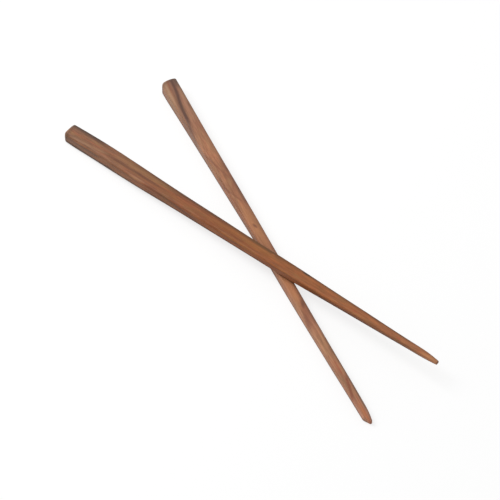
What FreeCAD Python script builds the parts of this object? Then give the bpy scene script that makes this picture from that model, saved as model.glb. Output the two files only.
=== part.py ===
import FreeCAD, Part

# A pair of wooden chopsticks as they lie on a table, one laid across the other. Millimetres, +Z up.
# The origin is on the table, straight under the point where the two cross, and +X runs along the
# under stick towards its tip. Seen from a butt, near is a stick's right-hand side and far its left.
import math
import os

# Both sticks: the edge between the top and the near side, the crest, is rubbed rounder than the rest
length = 236.9
edge_radius = 0.7
crest_butt_radius = 1.6
crest_tip_radius = 0.8

# Under stick: even tapers from butt to neck, where the tip begins, and how far the knife left the
# near side and the far side out from them, at evenly spaced stations
under_butt_width = 8.7
under_butt_height = 7.7
under_neck_width = 4.0
under_neck_height = 3.8
under_near_swell = (0.0, -0.33, -0.51, -0.56, -0.01, 0.09, 0.02)
under_far_swell = (0.0, -0.22, -0.13, -0.02, -0.14, -0.15, 0.04)
under_crown_radius = 10.0
under_corner_radius = 2.0

# Under stick's tip: the far side and the top curve in, and a slanting cut takes off the near corner
under_tip_length = 10.0
under_tip_width = 2.7
under_tip_height = 2.5
under_slant_length = 3.5
under_slant_reach = 0.3

# Over stick: the same sizes
over_butt_width = 8.55
over_butt_height = 7.0
over_neck_width = 3.4
over_neck_height = 3.0
over_near_swell = (0.0, 0.04, 0.5, 0.41, 0.56, 0.7, 0.91, 0.37, -0.09, -0.45)
over_far_swell = (0.0, 0.8, 0.68, 0.4, 0.43, 0.47, 0.76, 0.59, 0.48, 0.43)
over_crown_radius = 27.0
over_corner_radius = 2.1

# Over stick's tip: a bullet nose a little to the far side, its underside rising, its end blunt
over_tip_length = 13.0
over_tip_width = 1.7
over_tip_offset = 0.35
over_tip_height = 1.6
over_rise_length = 30.0
over_rise_height = 0.9

# How they lie: a crossing is measured along the table from the middle of that stick's butt
under_butt_to_crossing = 139.85
over_butt_to_crossing = 141.8
crossing_angle = 24.95
resting_gap = 0.02

# A long edge can't be rounder than the thinnest tip allows
THINNEST_SHARE = 0.45
thinnest_tip = min(under_tip_width, under_tip_height, over_tip_width, over_tip_height)
easing = min(edge_radius, THINNEST_SHARE * thinnest_tip)

SAW_ALLOWANCE = 1.0
SHARP_ANGLE = 15
NOSE_STEPS = 3
TOP_STATIONS = 9
SEATING_STEPS = 5


def shaft(butt, neck, swell, end):
    """Places and sizes from butt to end: an even taper, and the knife's swell on it."""
    steps = len(swell) - 1
    return [(end * k / steps, butt + (neck - butt) * k / steps + swell[k]) for k in range(steps + 1)]


def nose(neck, tip, tip_length, overrun):
    """Places and sizes in the tip, where the drop from the neck grows as the square of the way gone."""
    ways = [k / NOSE_STEPS for k in range(1, NOSE_STEPS)] + [1 + overrun / tip_length]
    return [(length - tip_length * (1 - way), neck + (tip - neck) * way**2) for way in ways]


def smooth(points):
    """A smooth curve through points."""
    curve = Part.BSplineCurve()
    curve.interpolate(points)
    return curve.toShape()


def straight(points):
    """Straight edges from point to point."""
    return [Part.LineSegment(a, b).toShape() for a, b in zip(points, points[1:])]


def sawn_plan(near, far, crown_radius, tip_corners, height):
    """The stick seen from above, with the butt's crown and the cuts at the tip, sawn straight down."""
    crown = [crown_radius - math.sqrt(crown_radius**2 - side[0][1] ** 2) for side in (near, far)]
    near_points = [FreeCAD.Vector(x, -size, 0) for x, size in [(crown[0], near[0][1])] + near[1:]]
    far_points = [FreeCAD.Vector(x, size, 0) for x, size in [(crown[1], far[0][1])] + far[1:]]
    corners = [near_points[-1]] + [FreeCAD.Vector(x, y, 0) for x, y in tip_corners] + [far_points[-1]]
    butt = Part.Arc(far_points[0], FreeCAD.Vector(0, 0, 0), near_points[0]).toShape()
    outline = [butt, smooth(near_points)] + straight(corners) + [smooth(far_points)]
    return Part.Face(Part.Wire(Part.__sortEdges__(outline))).extrude(FreeCAD.Vector(0, 0, height))


def sawn_side(top, bottom, width):
    """The stick seen from its side, running past both ends, sawn straight across. Bottom is a list of
    edges from tip to butt that closes the outline."""
    points = [FreeCAD.Vector(x, 0, z) for x, z in [(-SAW_ALLOWANCE, top[0][1])] + top[1:]]
    first, last = bottom[0].valueAt(bottom[0].FirstParameter), bottom[-1].valueAt(bottom[-1].LastParameter)
    outline = [smooth(points)] + straight([points[-1], first]) + bottom + straight([last, points[0]])
    face = Part.Face(Part.Wire(Part.__sortEdges__(outline)))
    return face.extrude(FreeCAD.Vector(0, width, 0)).translated(FreeCAD.Vector(0, -width / 2, 0))


def flat_bottom():
    """An underside that lies on the table from end to end; the saw passes below it."""
    ends = [FreeCAD.Vector(x, 0, -SAW_ALLOWANCE) for x in (length + SAW_ALLOWANCE, -SAW_ALLOWANCE)]
    return straight(ends)


def rising_bottom(rise_length, rise_height):
    """An underside that leaves the table before the tip and rises on an arc."""
    start = length - rise_length
    radius = (rise_length**2 + rise_height**2) / (2 * rise_height)
    middle, end = [(start + reach, radius - math.sqrt(radius**2 - reach**2))
                   for reach in (rise_length / 2, rise_length + SAW_ALLOWANCE)]
    points = [FreeCAD.Vector(x, 0, z) for x, z in (end, middle, (start, 0), (-SAW_ALLOWANCE, 0))]
    return [Part.Arc(*points[:3]).toShape()] + straight(points[2:])


def sharp_edges(solid):
    """The edges where two faces meet at a real corner."""
    found = []
    for edge in solid.Edges:
        if edge.Degenerated:
            continue
        middle = edge.valueAt((edge.FirstParameter + edge.LastParameter) / 2)
        faces = solid.ancestorsOfType(edge, Part.Face)
        first, second = [face.normalAt(*face.Surface.parameter(middle)) for face in faces]
        if math.degrees(first.getAngle(second)) > SHARP_ANGLE:
            found.append(edge)
    return found


def near_butt_corner(solid):
    """The upright edge between the butt and the near side."""
    steep = math.cos(math.radians(SHARP_ANGLE))
    upright = [edge for edge in solid.Edges if abs(edge.tangentAt(edge.FirstParameter).z) > steep]
    return min(upright, key=lambda edge: edge.Vertexes[0].X + edge.Vertexes[0].Y)


def crest(solid):
    """The long edge between the top and the near side."""
    long_edges = [edge for edge in solid.Edges if edge.Length > length / 2]
    return max(long_edges, key=lambda edge: edge.CenterOfMass.z - edge.CenterOfMass.y)


def stick(near, far, top, bottom, crown_radius, corner_radius, tip_corners):
    """One chopstick along +X from its butt, its underside on the table, all its edges eased."""
    width = 2 * (max(size for _, size in near + far) + SAW_ALLOWANCE)
    height = max(size for _, size in top) + SAW_ALLOWANCE
    blank = sawn_plan(near, far, crown_radius, tip_corners, height).common(sawn_side(top, bottom, width))
    rounded = blank.makeFillet(corner_radius, [near_butt_corner(blank)])
    rubbed = rounded.makeFillet(crest_butt_radius, crest_tip_radius, [crest(rounded)])
    return rubbed.makeFillet(easing, sharp_edges(rubbed)).Solids[0]


def under_chopstick():
    """The stick that lies flat, with the slanting cut at its tip."""
    neck = length - under_tip_length
    half_butt, half_neck, half_tip = under_butt_width / 2, under_neck_width / 2, under_tip_width / 2
    near = shaft(half_butt, half_neck, under_near_swell, length - under_slant_length)
    far = shaft(half_butt, half_neck, under_far_swell, neck)
    far += nose(far[-1][1], half_tip, under_tip_length, 0)
    top = shaft(under_butt_height, under_neck_height, TOP_STATIONS * [0], neck)
    top += nose(under_neck_height, under_tip_height, under_tip_length, SAW_ALLOWANCE)
    slant = [(length, under_slant_reach)]
    solid = stick(near, far, top, flat_bottom(), under_crown_radius, under_corner_radius, slant)
    return solid.translated(FreeCAD.Vector(-under_butt_to_crossing, 0, 0))


def over_chopstick():
    """The stick that is laid across, still flat on the table with its butt at the origin."""
    neck = length - over_tip_length
    half_butt, half_neck, half_tip = over_butt_width / 2, over_neck_width / 2, over_tip_width / 2
    near = shaft(half_butt, half_neck, over_near_swell, neck)
    near += nose(near[-1][1], half_tip - over_tip_offset, over_tip_length, 0)
    far = shaft(half_butt, half_neck, over_far_swell, neck)
    far += nose(far[-1][1], half_tip + over_tip_offset, over_tip_length, 0)
    top = shaft(over_butt_height, over_neck_height, TOP_STATIONS * [0], neck)
    tip_top = over_rise_height + over_tip_height
    top += nose(over_neck_height, tip_top, over_tip_length, SAW_ALLOWANCE)
    bottom = rising_bottom(over_rise_length, over_rise_height)
    return stick(near, far, top, bottom, over_crown_radius, over_corner_radius, [])


def laid(solid, tilt):
    """The over stick in its place: the eased edge of its butt on the table, its tip raised by tilt."""
    turned = solid.rotated(FreeCAD.Vector(0, 0, 0), FreeCAD.Vector(0, -1, 0), math.degrees(tilt))
    lift = easing * (1 - math.sin(tilt) - math.cos(tilt))
    moved = turned.translated(FreeCAD.Vector(-over_butt_to_crossing, 0, lift))
    return moved.rotated(FreeCAD.Vector(0, 0, 0), FreeCAD.Vector(0, 0, 1), crossing_angle)


def rested(solid, support):
    """The over stick lowered about its butt until it rests on the support, a hair's gap above it."""
    tilt = math.atan(under_butt_height / over_butt_to_crossing)
    for _ in range(SEATING_STEPS):
        gap = laid(solid, tilt).distToShape(support)[0]
        tilt -= (gap - resting_gap) / over_butt_to_crossing
    return laid(solid, tilt)


under = under_chopstick()
over = rested(over_chopstick(), under)
os.makedirs("parts", exist_ok=True)
for name, solid in (("under_chopstick", under), ("over_chopstick", over)):
    solid.exportStep("parts/" + name + ".step")
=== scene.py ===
import math

import bpy
import numpy as np
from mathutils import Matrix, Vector


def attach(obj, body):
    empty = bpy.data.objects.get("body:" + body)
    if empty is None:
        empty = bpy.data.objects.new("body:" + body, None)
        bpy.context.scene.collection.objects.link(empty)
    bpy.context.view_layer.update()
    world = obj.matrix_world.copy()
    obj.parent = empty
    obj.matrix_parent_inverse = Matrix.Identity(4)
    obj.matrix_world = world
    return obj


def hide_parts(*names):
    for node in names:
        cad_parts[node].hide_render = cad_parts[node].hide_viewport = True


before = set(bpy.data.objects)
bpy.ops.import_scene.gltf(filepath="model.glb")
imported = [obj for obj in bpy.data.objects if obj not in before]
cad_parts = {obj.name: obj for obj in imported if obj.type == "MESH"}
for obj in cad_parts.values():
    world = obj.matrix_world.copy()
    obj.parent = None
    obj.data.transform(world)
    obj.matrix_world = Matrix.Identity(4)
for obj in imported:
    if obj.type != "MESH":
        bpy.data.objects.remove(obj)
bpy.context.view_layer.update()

# Camera
# It looks down on the crossed sticks from beyond their tips, a little to their near side. Its
# heading, height, aim and lens were fitted to the outlines of both sticks.
camera_heading = math.radians(65.49)
camera_elevation = math.radians(50.03)
camera_distance = 1.0
camera_lens = 146.28
aim_point = Vector((-0.02118, -0.00658, 0.0))

level = math.cos(camera_elevation)
towards_camera = Vector((
    math.sin(camera_heading) * level,
    -math.cos(camera_heading) * level,
    math.sin(camera_elevation),
))
camera_data = bpy.data.cameras.new("camera")
camera_data.sensor_width = 36.0
camera_data.lens = camera_lens
camera = bpy.data.objects.new("camera", camera_data)
camera.location = aim_point + camera_distance * towards_camera
camera.rotation_euler = towards_camera.to_track_quat("Z", "Y").to_euler()
bpy.context.scene.collection.objects.link(camera)
bpy.context.scene.camera = camera

# Table and light
# A plain white table top in a white studio: a broad soft lamp high on the camera's left, and even
# light from all round. The table shows white to the camera, with part of the sticks' shadow.
table_half_side = 2.0
table_drop = 0.00002
table_colour = (0.98, 0.98, 0.98, 1.0)
table_own_shade = 0.25
pure_white = (1.0, 1.0, 1.0, 1.0)
room_strength = 0.6
lamp_power = 9.6
lamp_side = 0.7
lamp_place = Vector((-0.66, -0.45, 0.9))


class Signal:
    """One output of a shader node. Python's own operators on it add Math nodes to its tree."""

    def __init__(self, tree, socket=None):
        self.tree = tree
        self.socket = socket

    def node(self, kind, settings, inputs, output=0):
        """Adds a node of a kind: settings first, where stops are places and colours on a ramp and a
        route is places on a curve, then the value or the link of each named input."""
        made = self.tree.nodes.new("ShaderNode" + kind)
        for name, value in settings.items():
            if name == "stops":
                ramp = made.color_ramp.elements
                while len(ramp) < len(value):
                    ramp.new(1.0)
                for stop, (position, colour) in zip(ramp, value):
                    stop.position = position
                    stop.color = colour
            elif name == "route":
                curve = made.mapping.curves[0].points
                while len(curve) < len(value):
                    curve.new(1.0, 1.0)
                for point, place in zip(curve, value):
                    point.location = place
                made.mapping.update()
            else:
                setattr(made, name, value)
        for name, value in inputs.items():
            if isinstance(value, Signal):
                self.tree.links.new(value.socket, made.inputs[name])
            else:
                made.inputs[name].default_value = value
        return Signal(self.tree, made.outputs[output] if made.outputs else None)

    def beside(self, output):
        """Another output of the same node."""
        return Signal(self.tree, self.socket.node.outputs[output])

    def maths(self, operation, *values, clamp=False):
        """Adds one Math node."""
        settings = {"operation": operation, "use_clamp": clamp}
        return self.node("Math", settings, dict(enumerate(values)))

    def __add__(self, other):
        return self.maths("ADD", self, other)

    def __sub__(self, other):
        return self.maths("SUBTRACT", self, other)

    def __rsub__(self, other):
        return self.maths("SUBTRACT", other, self)

    def __mul__(self, other):
        return self.maths("MULTIPLY", self, other)

    def __truediv__(self, other):
        return self.maths("DIVIDE", self, other)

    def __abs__(self):
        return self.maths("ABSOLUTE", self)


def emptied(owner):
    """A material or a world, its node tree cleared of the nodes that Blender puts there."""
    owner.use_nodes = True
    owner.node_tree.nodes.clear()
    return owner


def seen_by_camera(tree):
    """1 for a ray that the camera sees, straight or in a sheen, and 0 for one that only brings light."""
    camera_ray = Signal(tree).node("LightPath", {}, {}, "Is Camera Ray")
    glossy_ray = camera_ray.beside("Is Glossy Ray")
    return camera_ray.maths("ADD", camera_ray, glossy_ray, clamp=True)


world = emptied(bpy.data.worlds.new("studio"))
bpy.context.scene.world = world
seen = seen_by_camera(world.node_tree)
brightness = seen * (1 - room_strength) + room_strength
room = seen.node("Background", {}, {"Color": pure_white, "Strength": brightness})
room.node("OutputWorld", {}, {"Surface": room})

table_material = emptied(bpy.data.materials.new("white_table"))
seen = seen_by_camera(table_material.node_tree)
matt = seen.node("BsdfDiffuse", {}, {"Color": table_colour})
white = seen.node("Emission", {}, {"Color": pure_white, "Strength": 1.0})
shown = seen.node("MixShader", {}, {0: seen * (1 - table_own_shade), 1: matt, 2: white})
shown.node("OutputMaterial", {}, {"Surface": shown})

table_corners = [
    (x * table_half_side, y * table_half_side, -table_drop)
    for x, y in ((-1, -1), (1, -1), (1, 1), (-1, 1))
]
table_mesh = bpy.data.meshes.new("table_top")
table_mesh.from_pydata(table_corners, [], [(0, 1, 2, 3)])
table_mesh.materials.append(table_material)
table = bpy.data.objects.new("table_top", table_mesh)
bpy.context.scene.collection.objects.link(table)

lamp_data = bpy.data.lights.new("soft_lamp", "AREA")
lamp_data.energy = lamp_power
lamp_data.size = lamp_side
lamp = bpy.data.objects.new("soft_lamp", lamp_data)
lamp.location = lamp_place
lamp.rotation_euler = lamp_place.to_track_quat("Z", "Y").to_euler()
bpy.context.scene.collection.objects.link(lamp)

# Under stick
# A square stick of pinkish tan hardwood, tapered with a plane and finished with a knife, its tip cut
# slantwise. Its edges are rubbed soft and it is oiled. It lies flat on the table.

# Both sticks are measured in mm from the middle of the butt: along, to the far side and up. Seen from
# the butt, the near side is on the right and the far side on the left. Hair is what an end is short
# of the planned length, before any bulge.
mm = 0.001
length = 236.9
hair = 0.02

# The four long edges, in the order near bottom, far bottom, far top and near top: their radii at the
# butt, at the tip and round the butt's rim, and how much painted shade each holds: all of it on the two
# bottom edges, where the stick meets the table, and half on the far top edge
easing = 0.7
edges_at_butt = np.array((easing, easing, easing, 1.6))
edges_at_tip = np.array((easing, easing, easing, 0.8))
edges_on_rim = np.array((1.3, easing, 0.9, 2.2))
edges_painted_shade = np.array((1.0, 1.0, 0.5, 0.0))

# How far from the butt the rim's radii hold, and over how long a way they then blend into the edges'
# own; how much painted shade the rim holds, and how far from it that shade ends
rim_hold, rim_blend = 2.4, 9.0
rim_painted_shade, rim_shade_reach = 0.55, 1.8

# The uneven finish: how high its long hills and its short ones are above the middle
long_relief, short_relief = 0.03, 0.014

# The grid: steps round an edge and over a flat, rows along the stick, and rows over an end's rim,
# with as many again in to the end's middle
arc_steps, flat_steps, body_rows, cap_rows = 9, 13, 600, 9


def through(stations, sizes, x):
    """A smooth curve through sizes at stations: cubic spans whose bends balance at each station."""
    stations = np.asarray(stations, float)
    sizes = np.asarray(sizes, float)
    span = np.diff(stations)
    rise = np.diff(sizes) / span
    balance = np.eye(len(stations))
    inner = np.arange(1, len(stations) - 1)
    balance[inner, inner - 1] = span[:-1]
    balance[inner, inner] = 2 * (span[:-1] + span[1:])
    balance[inner, inner + 1] = span[1:]
    bend = np.linalg.solve(balance, np.concatenate(([0], 6 * np.diff(rise), [0])))
    x = np.clip(x, stations[0], stations[-1])
    k = np.clip(np.searchsorted(stations, x) - 1, 0, len(span) - 1)
    left = (stations[k + 1] - x) / span[k]
    right = 1 - left
    curved = ((left**3 - left) * bend[k] + (right**3 - right) * bend[k + 1]) * span[k] ** 2 / 6
    return left * sizes[k] + right * sizes[k + 1] + curved


def profile(butt, neck, neck_place, swell, tip=None):
    """Half a width, or a height, along the stick: an even taper from butt to neck with the knife's
    swell on it, and in the tip a drop that grows as the square of the way gone."""
    stations = np.linspace(0, neck_place, len(swell))
    sizes = butt + (neck - butt) * stations / neck_place + np.array(swell)
    if tip:
        way = np.array((1 / 3, 2 / 3, 1.1))
        stations = np.append(stations, neck_place + (length - neck_place) * way)
        sizes = np.append(sizes, sizes[-1] + (tip - sizes[-1]) * way**2)
    return lambda x: through(stations, sizes, x)


def arc_drop(radius, inset):
    """How far a rounded edge falls back at a distance in from its side: a quarter circle."""
    return radius - np.sqrt(radius**2 - np.clip(radius - inset, 0, radius) ** 2)


def smooth_noise(rows, columns, along, around, seed):
    """Even random hills of -1 to 1, along by around of them, closed round the stick: heights on a
    coarse grid, blended between with a smooth step."""
    heights = np.random.default_rng(seed).uniform(-1, 1, (along + 2, around))
    v = np.linspace(0, along, rows)
    u = np.arange(columns) * around / columns
    i, j = v.astype(int)[:, None], u.astype(int)[None, :]
    p, q = v[:, None] - i, u[None, :] - j
    p, q = p * p * (3 - 2 * p), q * q * (3 - 2 * q)
    low = heights[i, j] * (1 - q) + heights[i, (j + 1) % around] * q
    high = heights[i + 1, j] * (1 - q) + heights[i + 1, (j + 1) % around] * q
    return low * (1 - p) + high * p


def columns_round():
    """The columns of a grid round a stick: for each its edge, the next edge, its share of the way
    over the flat between them, and where it faces, to the far side and up. Each edge takes a quarter
    turn, and the flat after it faces one way."""
    turn = np.append(np.linspace(0, 90, arc_steps + 1), np.full(flat_steps - 1, 90.0))
    share = np.append(np.zeros(arc_steps + 1), np.arange(1, flat_steps) / flat_steps)
    edge = np.repeat(np.arange(4), len(turn))
    angle = np.radians(180 + 90 * edge + np.tile(turn, 4))
    return edge, (edge + 1) % 4, np.tile(share, 4), np.cos(angle), np.sin(angle)


def stick_grid(near, far, bottom, top, crown_radius, corner_radius, bulge, dome, tip_line, tip_edge, seed):
    """A stick as a grid, with rows from the middle of its butt to the middle of its tip and columns
    round it. A row is a rectangle with rounded edges: a column is an edge's middle plus the edge's
    radius where it faces, or lies between two such points on a flat. The finish is pressed in, never
    out. Comes with the painted edge shade at each point: as much as an edge or the rim holds, less
    away from it, and none from a third of a flat or the rim's reach."""
    edge, next_edge, share, out_y, out_z = columns_round()
    rim = edges_on_rim[edge] * (1 - share) + edges_on_rim[next_edge] * share
    edge_painted_shade = np.maximum(edges_painted_shade[edge] * (1 - 3 * share), edges_painted_shade[next_edge] * (3 * share - 2))

    def section(x):
        """Where each column lies across the stick at x. The edges start with the rim's radii, and in
        the last twelfth they shrink to what the tip's end allows."""
        way = x / length
        last_twelfth = np.clip(way * 12 - 11, 0, 1)
        by_rim = (1 - np.clip((x - rim_hold) / rim_blend, 0, 1)) ** 2
        y, z = 0, 0
        for k, weight in ((edge, 1 - share), (next_edge, share)):
            r = edges_at_butt[k] * (1 - way) + edges_at_tip[k] * way - (easing - tip_edge) * last_twelfth
            r = r + (edges_on_rim[k] - edges_at_butt[k]) * by_rim
            side = np.where((k == 1) | (k == 2), far(x) - r, r - near(x))
            height = np.where(k > 1, top(x) - r, bottom(x) + r)
            y = y + weight * (side + r * out_y)
            z = z + weight * (height + r * out_z)
        return y, z

    def butt_line(y, z):
        """How far in the end of the butt lies: back by its crown and by the rounder corner on the near
        side, out by its dome all over, and by a bulge that is widest at three tenths of the height,
        falls off as the fourth power of the way from there and is gone at the top."""
        inset = np.maximum(y + near(0), 0)
        corner_drop = arc_drop(corner_radius, inset) - arc_drop(rim, inset)
        widest = 0.3 * top(0)
        bulged = bulge * np.maximum(1 - ((z - widest) / (top(0) - widest)) ** 4, 0)
        crown = crown_radius - np.sqrt(crown_radius**2 - y**2)
        return hair + crown + np.maximum(corner_drop, 0) - bulged - dome

    start = butt_line(*section(rim)) + rim
    stop = tip_line(section(np.full(len(edge), length - tip_edge))[0]) - tip_edge
    x = start + (stop - start) * np.linspace(0, 1, body_rows)[:, None]
    y, z = section(x)
    long_hills = smooth_noise(body_rows, len(edge), along=16, around=12, seed=seed)
    short_hills = smooth_noise(body_rows, len(edge), along=22, around=44, seed=seed + 1)
    relief = long_relief * (long_hills - 1) + short_relief * (short_hills - 1)
    y = y + relief * out_y
    z = z + relief * out_z

    def cap(ring_y, ring_z, radius, line, inward):
        """Rows that close an end: in round its rim on a quarter circle, then straight in to its
        middle. Inward is 1 at the butt and -1 at the tip."""
        turn = np.linspace(0, math.pi / 2, cap_rows + 1)[1:, None]
        inset = radius * (1 - np.cos(turn))
        rim_y, rim_z = ring_y - inset * out_y, ring_z - inset * out_z
        rim_x = line(rim_y, rim_z) + inward * radius * (1 - np.sin(turn))
        left = np.linspace(1, 0, cap_rows + 1)[1:, None]
        end_y = rim_y[-1].mean() + left * (rim_y[-1] - rim_y[-1].mean())
        end_z = rim_z[-1].mean() + left * (rim_z[-1] - rim_z[-1].mean())
        end_x = line(end_y, end_z)
        return np.vstack((rim_x, end_x)), np.vstack((rim_y, end_y)), np.vstack((rim_z, end_z))

    butt = cap(y[0], z[0], rim, butt_line, 1)
    tip = cap(y[-1], z[-1], tip_edge, lambda y, z: tip_line(y), -1)
    whole = [np.vstack((b[::-1], body, t)) for b, body, t in zip(butt, (x, y, z), tip)]
    # Painted shade round the butt's rim, fading out over the rim's reach
    by_rim = rim_painted_shade * (1 - np.abs(whole[0] - start) / rim_shade_reach)
    return np.stack(whole, axis=-1), np.maximum(np.maximum(edge_painted_shade, by_rim), 0)


def stick_mesh(name, grid, painted_edge_shade, turn, place):
    """A closed mesh of a grid: a square face between its lines, and a fan of faces at each end. Each
    point keeps its painted edge shade as the attribute edge."""
    rows, columns = grid.shape[:2]
    inner = 1 + np.arange((rows - 2) * columns).reshape(rows - 2, columns)
    ahead = np.roll(inner, -1, axis=1)
    last = (rows - 2) * columns + 1
    quads = np.stack((inner[:-1], ahead[:-1], ahead[1:], inner[1:]), axis=-1).reshape(-1, 4)
    first_fan = np.stack((np.zeros(columns, int), ahead[0], inner[0]), axis=-1)
    last_fan = np.stack((np.full(columns, last), inner[-1], ahead[-1]), axis=-1)
    points = np.vstack((grid[0, :1], grid[1:-1].reshape(-1, 3), grid[-1, :1]))
    points = points @ np.array(turn).T + np.array(place)
    mesh = bpy.data.meshes.new(name)
    mesh.from_pydata((points * mm).tolist(), [], quads.tolist() + first_fan.tolist() + last_fan.tolist())
    mesh.polygons.foreach_set("use_smooth", np.ones(len(mesh.polygons), bool))
    edge = mesh.attributes.new("edge", "FLOAT", "POINT")
    edge.data.foreach_set("value", np.concatenate(([0.0], painted_edge_shade[1:-1].ravel(), [0.0])))
    piece = bpy.data.objects.new(name, mesh)
    bpy.context.scene.collection.objects.link(piece)
    return piece


def screen(colour):
    """A colour given as it looks on a screen, 0 to 255, turned into light for the shaders."""
    light = [((v / 255 + 0.055) / 1.055) ** 2.4 for v in colour]
    return (*light, 1.0)


def tinted(tone, mask, colour):
    """A tone mixed towards a screen colour where a mask is 1. Sockets 6 and 7 of a Mix node are its
    two colours, and its output 2 is their mixture."""
    return mask.node("Mix", {"data_type": "RGBA"}, {0: mask, 6: tone, 7: screen(colour)}, 2)


def above(value, least, steepness):
    """Where a value is above the least: 0 up to it, then rising to 1."""
    return value.maths("MULTIPLY", value - least, steepness, clamp=True)


def streak(along, across, route, half_width, fade):
    """A line in the grain: 1 on a smooth route through places, 0 from half a width off it, and it
    fades out past both ends."""
    first, last = route[0][0], route[-1][0]
    low = min(place[1] for place in route) - half_width
    high = max(place[1] for place in route) + half_width
    way = (along - first) / (last - first)
    points = [((a - first) / (last - first), (c - low) / (high - low)) for a, c in route]
    bend = along.node("FloatCurve", {"route": points}, {"Value": way})
    off = abs(across - (bend * (high - low) + low)) / half_width
    line = off.maths("SUBTRACT", 1.0, off * off, clamp=True)
    start = along.maths("DIVIDE", along - (first - fade), fade, clamp=True)
    end = along.maths("DIVIDE", (last + fade) - along, fade, clamp=True)
    return line * start * end


def streaked(tone, along, across, streaks):
    """A tone with streaks laid over it in turn. Each has its route, half width, fade, screen colour
    and strength."""
    for route, half_width, fade, colour, strength in streaks:
        tone = tinted(tone, streak(along, across, route, half_width, fade) * strength, colour)
    return tone


def patch(along, across, middle, half_length, half_width, turn):
    """A soft oval in the grain, turned by degrees: 1 at its middle, 0 at its rim."""
    c, s = math.cos(math.radians(turn)), math.sin(math.radians(turn))
    a, b = along - middle[0], across - middle[1]
    p = (a * c + b * s) / half_length
    q = (b * c - a * s) / half_width
    return p.maths("SUBTRACT", 1.0, p * p + q * q, clamp=True)


def patched(tone, along, across, patches):
    """A tone with patches laid over it in turn. Each has its middle, half length, half width, turn,
    screen colour and strength."""
    for middle, half_length, half_width, turn, colour, strength in patches:
        mask = patch(along, across, middle, half_length, half_width, turn)
        tone = tinted(tone, mask * strength, colour)
    return tone


def wood(name, turn, butt):
    """A new wood material, and its places: mm from the butt, and the same three along, to the far
    side and up."""
    material = emptied(bpy.data.materials.new(name))
    seen = Signal(material.node_tree).node("TexCoord", {}, {}, "Object")
    place = seen.node("Mapping", {"vector_type": "TEXTURE"}, {
        "Vector": seen, "Location": [p * mm for p in butt], "Rotation": turn, "Scale": (mm, mm, mm)})
    x = place.node("SeparateXYZ", {}, {"Vector": place}, "X")
    return material, place, x, x.beside("Y"), x.beside("Z")


def as_seen(x, y, z, sight):
    """Places along and across as the camera sees them: a point followed down its line of sight to
    the underside's level. Sight is how far that line goes along and to the far side for 1 mm up."""
    return x - z * sight[0], y - z * sight[1]


def fibres(place, along_scale, across_scale, detail, seed):
    """Noise of about 0.5, drawn out along the stick: its scales say how often it changes in a mm along
    and across, and detail adds finer changes."""
    stretched = place.node("Mapping", {}, {
        "Vector": place, "Location": (seed, seed, seed),
        "Scale": (along_scale, across_scale, across_scale)})
    return place.node("TexNoise", {"noise_dimensions": "3D"}, {
        "Vector": stretched, "Scale": 1.0, "Detail": detail, "Roughness": 0.6})


def ring_lines(place, x, y, z, seed):
    """Growth rings: sharp dark lines at steps of 1.85 mm in the distance from a heart beside the
    stick, bent by slow noise. 0 between rings, 1 on a line."""
    sideways, upwards, run_out, wander, rate = 0.8, 0.6, 0.03, 16.0, 3.4
    bend = fibres(place, 0.022, 0.05, 1.0, seed + 3.0)
    distance = y * sideways + z * upwards + x * run_out + bend * wander
    wave = distance.maths("SINE", distance * rate) * 0.5 + 0.5
    return wave * wave * wave


def plain_wood(place, x, y, z, seed, drift, redder, yellower):
    """The wood before its own marks: a colour that drifts from butt to tip, patches of a redder and
    a yellower tint on it, and fine fibres, broad bands and rings that shade it. Comes with the fibres
    and with the pores, short dashes along the grain. Drift is screen colours at shares of the length."""
    fine = fibres(place, 0.14, 1.9, 3.0, seed)
    broad = fibres(place, 0.07, 0.5, 3.0, seed + 1.0)
    pores = above(fibres(place, 0.22, 2.6, 2.0, seed + 5.0), 0.58, 6.0)
    rings = ring_lines(place, x, y, z, seed)
    stops = [(share, screen(colour)) for share, colour in drift]
    tone = x.node("ValToRGB", {"stops": stops}, {"Fac": x / length})
    red_parts = above(fibres(place, 0.09, 0.4, 2.0, seed + 5.0), 0.47, 4.0)
    tone = tinted(tone, red_parts * 0.4, redder)
    yellow_parts = above(fibres(place, 0.12, 0.45, 2.0, seed + 6.0), 0.47, 4.0)
    tone = tinted(tone, yellow_parts * 0.4, yellower)
    shade = fine * 1.1 + broad * 0.9 - rings * 0.07
    shaded = shade.node("VectorMath", {"operation": "SCALE"}, {0: tone, "Scale": shade})
    return shaded, fine, pores


def with_edge_shade_and_pores(tone, x, pores, at_butt, at_tip, painted_edge_shade, dark):
    """A tone with painted shade on its edges as the mesh holds it, by one strength at the butt and
    another at the tip, and with dark pores."""
    edge_shade_held = x.node("Attribute", {"attribute_name": "edge"}, {}, "Fac")
    # Painted shade on the edges and round the butt's rim
    tone = tinted(tone, edge_shade_held * (at_butt - x * ((at_butt - at_tip) / length)), painted_edge_shade)
    return tinted(tone, pores * 0.3, dark)


def oiled(material, tone, fine, pores):
    """The oiled surface: a dull sheen that changes with the fibres, and fibres and pores as relief."""
    normal = tone.node("Bump", {}, {"Strength": 0.5, "Distance": 0.08 * mm, "Height": fine - pores * 0.8})
    shader = tone.node("BsdfPrincipled", {}, {
        "Base Color": tone, "Roughness": 0.68 - fine * 0.2, "Specular IOR Level": 0.3, "Normal": normal})
    shader.node("OutputMaterial", {}, {"Surface": shader})


under_butt = (-139.85, 0.0, 0.0)
under_sight = (0.763, -0.348)
under_neck = length - 10.0
under_cut_length = 3.5
under_cut_reach = 0.3
under_near_at_cut = 2.02


def under_tip(y):
    """The end of the tip, with the slanting cut that takes off the near corner, from a cut's length
    back on the near side to a little past the middle."""
    slant = under_cut_length / (under_near_at_cut + under_cut_reach)
    return length - hair - slant * np.maximum(under_cut_reach - y, 0)


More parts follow.
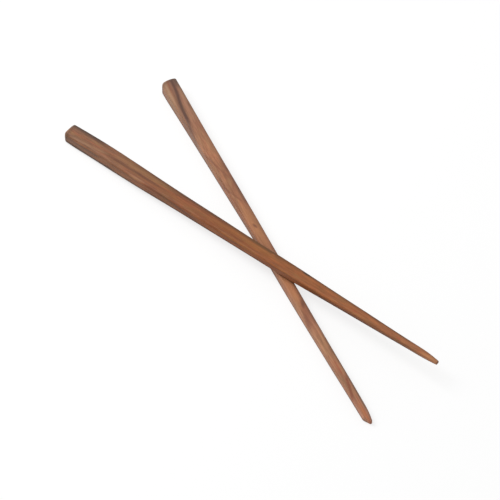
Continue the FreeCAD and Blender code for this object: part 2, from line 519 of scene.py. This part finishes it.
under_near = profile(
    butt=4.35, neck=2.0, neck_place=length - under_cut_length,
    swell=(0, -0.33, -0.51, -0.56, -0.01, 0.09, 0.02))
under_far = profile(
    butt=4.35, neck=2.0, neck_place=under_neck, tip=1.35,
    swell=(0, -0.22, -0.13, -0.02, -0.14, -0.15, 0.04))
under_top = profile(butt=7.7, neck=3.8, neck_place=under_neck, tip=2.5, swell=np.zeros(9))
under_shape = stick_grid(
    under_near, under_far, np.zeros_like, under_top, crown_radius=10.0, corner_radius=2.0,
    bulge=0.0, dome=0.0, tip_line=under_tip, tip_edge=0.6, seed=5)
under = stick_mesh("under_stick", *under_shape, np.eye(3), under_butt)
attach(under, "root")
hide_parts("under_chopstick")

material, place, x, y, z = wood("pale_oiled_wood", (0, 0, 0), under_butt)
along, across = as_seen(x, y, z, under_sight)
drift = (
    (0.0, (140, 100, 80)), (0.16, (150, 103, 77)), (0.21, (160, 109, 78)), (0.32, (148, 97, 68)),
    (0.6, (146, 96, 69)), (0.75, (166, 117, 86)), (0.84, (158, 110, 80)), (0.93, (150, 102, 75)),
    (1.0, (174, 122, 98)),
)
tone, fine, pores = plain_wood(
    place, x, y, z, seed=1.0, drift=drift, redder=(158, 92, 66), yellower=(160, 124, 86))

# A vein slants over the butt, and shorter ones at 60, 80 and 160 mm. The far edge is dark in places,
# and fine lines run out at the tip.
tone = streaked(tone, along, across, (
    ([(-5, 3.7), (7, 2.6), (17.7, 0.7), (31.6, -0.7)], 2.4, 6.0, (116, 78, 58), 0.6),
    ([(-4, 4.0), (6, 3.0), (12, 1.85), (18, 1.05), (24, 0.5)], 1.15, 7.0, (70, 45, 38), 0.8),
    ([(24, 0.5), (30, -0.45), (36, -1.35), (42, -2.2)], 1.0, 6.0, (84, 56, 46), 0.6),
    ([(-4, 1.6), (10, 0.6), (24, -1.6), (32, -2.6)], 0.8, 6.0, (104, 66, 48), 0.5),
    ([(-2, 1.4), (8, 0.0), (20, -2.0), (30, -3.3)], 0.6, 5.0, (140, 70, 48), 0.5),
    ([(30, 3.4), (44, 0.8), (56, -1.6)], 0.45, 6.0, (126, 78, 54), 0.4),
    ([(54, -0.9), (68.8, 2.9)], 0.7, 3.0, (120, 72, 52), 0.6),
    ([(76.3, -1.4), (85, 1.8)], 0.8, 3.0, (120, 72, 52), 0.6),
    ([(58, 5.0), (66, 4.8)], 1.0, 4.0, (108, 72, 58), 0.6),
    ([(72, 4.8), (88, 4.6)], 1.0, 4.0, (108, 72, 58), 0.6),
    ([(150, 3.6), (154.6, 3.1), (159.8, 2.0), (167.2, 0.5), (173, -0.7)], 1.5, 5.0, (116, 66, 48), 0.65),
    ([(155, 3.5), (170, 3.1)], 0.9, 5.0, (100, 64, 50), 0.5),
    ([(176, 3.8), (200, 3.3), (225, 2.6)], 0.7, 8.0, (112, 82, 66), 0.5),
    ([(198, 1.2), (204, 1.2)], 0.6, 3.0, (150, 74, 50), 0.6),
    ([(208.4, 1.8), (213, 1.0), (218.9, -0.4)], 0.9, 3.0, (122, 62, 40), 0.7),
    ([(220, 1.5), (235, 0.9)], 0.35, 3.0, (146, 74, 50), 0.65),
    ([(218, 0.2), (232, -0.3)], 0.3, 3.0, (134, 84, 66), 0.5),
))

# The butt's far corner is dark, with paler wood beside its vein. Warm wood lies about the crossing,
# part of it painted light that lifts the shadow the over stick casts there, and there are knots at 105
# and 160 mm.
tone = patched(tone, along, across, (
    ((-2.5, 5.8), 7.0, 1.7, 0.0, (80, 62, 54), 0.8),
    ((10, -1.4), 22.0, 2.4, -5.0, (148, 114, 82), 0.6),
    ((46, -2.4), 24.0, 1.6, -1.0, (134, 104, 86), 0.5),
    # Painted light: a lighter, warmer patch that lifts the over stick's shadow on this stick
    ((146, 1.6), 26.0, 3.0, 0.0, (196, 132, 88), 0.5),
    ((106, 1.8), 20.0, 3.4, 0.0, (180, 122, 78), 0.5),
    ((105.5, 2.1), 2.2, 0.9, 15.0, (98, 56, 42), 0.75),
    ((159.8, 2.4), 3.4, 1.1, -12.0, (60, 42, 34), 0.7),
    ((167, 1.9), 14.0, 2.0, -6.0, (136, 82, 62), 0.55),
    ((6, -0.4), 9.0, 0.9, -4.0, (172, 132, 102), 0.4),
    ((10, 4.8), 12.0, 1.2, -6.0, (172, 130, 102), 0.4),
    ((229, 0.6), 8.0, 1.2, 0.0, (184, 112, 68), 0.55),
))
# Painted shade on the edges and the butt's rim, and dark pores
tone = with_edge_shade_and_pores(tone, x, pores, at_butt=0.75, at_tip=0.65, painted_edge_shade=(76, 55, 44), dark=(90, 52, 36))
oiled(material, tone, fine, pores)
under.data.materials.append(material)

# Over stick
# The second stick, of the same wood cut redder and darker, laid across the first. Its butt rests on
# the table and its middle on the under stick. The tip is a bullet nose with a blunt end.
tilt = math.radians(2.382)
crossing = math.radians(24.95)
butt_to_crossing = 141.8
over_sight = (0.6, -0.652)
over_neck = length - 13.0
over_rise_length = 30.0
over_rise_height = 0.9
end_grain_depth = 0.55

# It tips up on the eased lower edge of its butt, which takes the butt down a little
lift = easing * (1 - math.sin(tilt) - math.cos(tilt))
over_butt = (-butt_to_crossing * math.cos(crossing), -butt_to_crossing * math.sin(crossing), lift)
over_turn = (0.0, -tilt, crossing)
raised = np.array((
    (math.cos(tilt), 0, -math.sin(tilt)),
    (0, 1, 0),
    (math.sin(tilt), 0, math.cos(tilt)),
))
crossed = np.array((
    (math.cos(crossing), -math.sin(crossing), 0),
    (math.sin(crossing), math.cos(crossing), 0),
    (0, 0, 1),
))


def over_tip(y):
    """The blunt end of the tip."""
    return np.full(np.shape(y), length - hair)


def over_bottom(x):
    """The underside, which rises on an arc under the tip."""
    radius = (over_rise_length**2 + over_rise_height**2) / (2 * over_rise_height)
    return radius - np.sqrt(radius**2 - np.maximum(x - (length - over_rise_length), 0) ** 2)


over_near = profile(
    butt=4.275, neck=1.7, neck_place=over_neck, tip=0.72,
    swell=(-0.25, 0.04, 0.5, 0.41, 0.56, 0.7, 0.91, 0.37, -0.09, -0.45))
over_far = profile(
    butt=4.275, neck=1.7, neck_place=over_neck, tip=1.2,
    swell=(0, 0.8, 0.68, 0.4, 0.43, 0.47, 0.76, 0.59, 0.48, 0.43))
over_top = profile(butt=7.0, neck=3.0, neck_place=over_neck, tip=2.5, swell=np.zeros(9))
over_shape = stick_grid(
    over_near, over_far, over_bottom, over_top, crown_radius=18.0, corner_radius=1.8,
    bulge=0.55, dome=0.15, tip_line=over_tip, tip_edge=0.45, seed=9)
over = stick_mesh("over_stick", *over_shape, crossed @ raised, over_butt)
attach(over, "root")
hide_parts("over_chopstick")

material, place, x, y, z = wood("deep_oiled_wood", over_turn, over_butt)
along, across = as_seen(x, y, z, over_sight)
drift = (
    (0.0, (122, 84, 62)), (0.16, (128, 84, 57)), (0.3, (120, 71, 42)), (0.45, (130, 71, 30)),
    (0.7, (146, 86, 44)), (0.86, (148, 90, 54)), (0.93, (146, 92, 58)), (1.0, (164, 112, 78)),
)
tone, fine, pores = plain_wood(
    place, x, y, z, seed=11.0, drift=drift, redder=(146, 78, 46), yellower=(134, 98, 56))

# The far edge is dark at the butt and along the middle. Painted shade darkens the near side beyond the
# crossing, and at the butt the near side and its bottom edge; a pale streak on the butt's near top edge
# is a painted highlight. Veins and redder lines lie between them.
tone = streaked(tone, along, across, (
    ([(-6, 9.6), (14, 9.2)], 3.0, 9.0, (50, 38, 34), 0.95),
    ([(-1, -0.95), (20, -0.9)], 0.5, 3.0, (80, 56, 42), 0.6),
    # Painted shade: grey-brown on the near side at the butt
    ([(4, -1.4), (16, -1.3)], 1.2, 6.0, (112, 82, 66), 0.3),
    # Painted shade along the near bottom edge at the butt, where it meets the table
    ([(0, -3.3), (30, -3.1)], 0.8, 6.0, (66, 50, 44), 0.6),
    # Painted highlight: a pale streak along the near top edge at the butt
    ([(3.5, 1.2), (20.9, 3.1)], 0.8, 4.0, (160, 120, 88), 0.35),
    ([(2, 4.2), (26, 5.0)], 0.5, 4.0, (152, 88, 58), 0.5),
    ([(30, 3.3), (59, 3.1)], 1.0, 9.0, (92, 54, 34), 0.65),
    ([(57.4, -0.2), (72, -1.0), (86.6, -2.2)], 0.7, 5.0, (88, 52, 32), 0.55),
    ([(55, 7.2), (92, 6.5), (134, 5.6)], 1.3, 8.0, (84, 50, 30), 0.65),
    ([(60, 4.2), (100, 3.6), (128, 3.8)], 0.6, 10.0, (154, 88, 48), 0.4),
    ([(121, 5.2), (134, 5.0)], 0.5, 2.0, (84, 64, 34), 0.6),
    ([(148, 5.6), (170, 5.1), (190, 4.6), (215, 3.8)], 0.9, 10.0, (80, 56, 38), 0.5),
    # Painted shade on the near side beyond the crossing
    ([(137, -2.3), (162, -2.0), (194, -1.4), (216, -0.7)], 1.3, 12.0, (96, 50, 26), 0.6),
))

# Golden wood up to the crossing, a knot on the far edge beyond it, red flecks and a paler tip
tone = patched(tone, along, across, (
    ((47, 0.1), 6.0, 1.0, 0.0, (162, 122, 88), 0.5),
    ((50, 5.6), 24.0, 2.0, 0.0, (142, 104, 64), 0.45),
    ((76, 2.4), 30.0, 1.8, 0.0, (142, 86, 44), 0.35),
    ((120, 3.6), 30.0, 2.0, 0.0, (138, 92, 42), 0.35),
    ((133.5, 4.6), 1.6, 0.6, 0.0, (180, 100, 50), 0.7),
    ((153.8, 5.2), 2.8, 0.9, 0.0, (38, 34, 20), 0.9),
    ((186.7, 1.45), 2.5, 0.6, 0.0, (156, 74, 44), 0.6),
    ((212.7, 1.5), 2.0, 0.6, 0.0, (160, 76, 46), 0.7),
    ((224.8, 1.5), 1.6, 0.5, 0.0, (160, 76, 46), 0.6),
    ((229, 1.6), 5.0, 1.2, 0.0, (188, 126, 78), 0.5),
))
# Painted shade on the edges and the butt's rim, and dark pores
tone = with_edge_shade_and_pores(tone, x, pores, at_butt=0.85, at_tip=0.65, painted_edge_shade=(70, 46, 26), dark=(76, 42, 26))
end_grain = above(x, length - end_grain_depth, 4.0)
tone = tinted(tone, end_grain * 0.45, (84, 54, 38))

# Beside the crossing: a warm brown over the painted edge shade on the far edge, and painted light,
# lighter and warmer, that lifts the shade on the near side where it faces the under stick
tone = patched(tone, along, across, (
    ((128, 5.7), 28.0, 1.6, 0.0, (100, 62, 26), 0.7),
    # Painted light on the shaded near side at the crossing
    ((150, -2.7), 20.0, 1.3, 0.0, (138, 78, 42), 0.6),
))
oiled(material, tone, fine, pores)
over.data.materials.append(material)

# Picture
# The picture shows the colours as they are.
bpy.context.scene.view_settings.view_transform = "Standard"
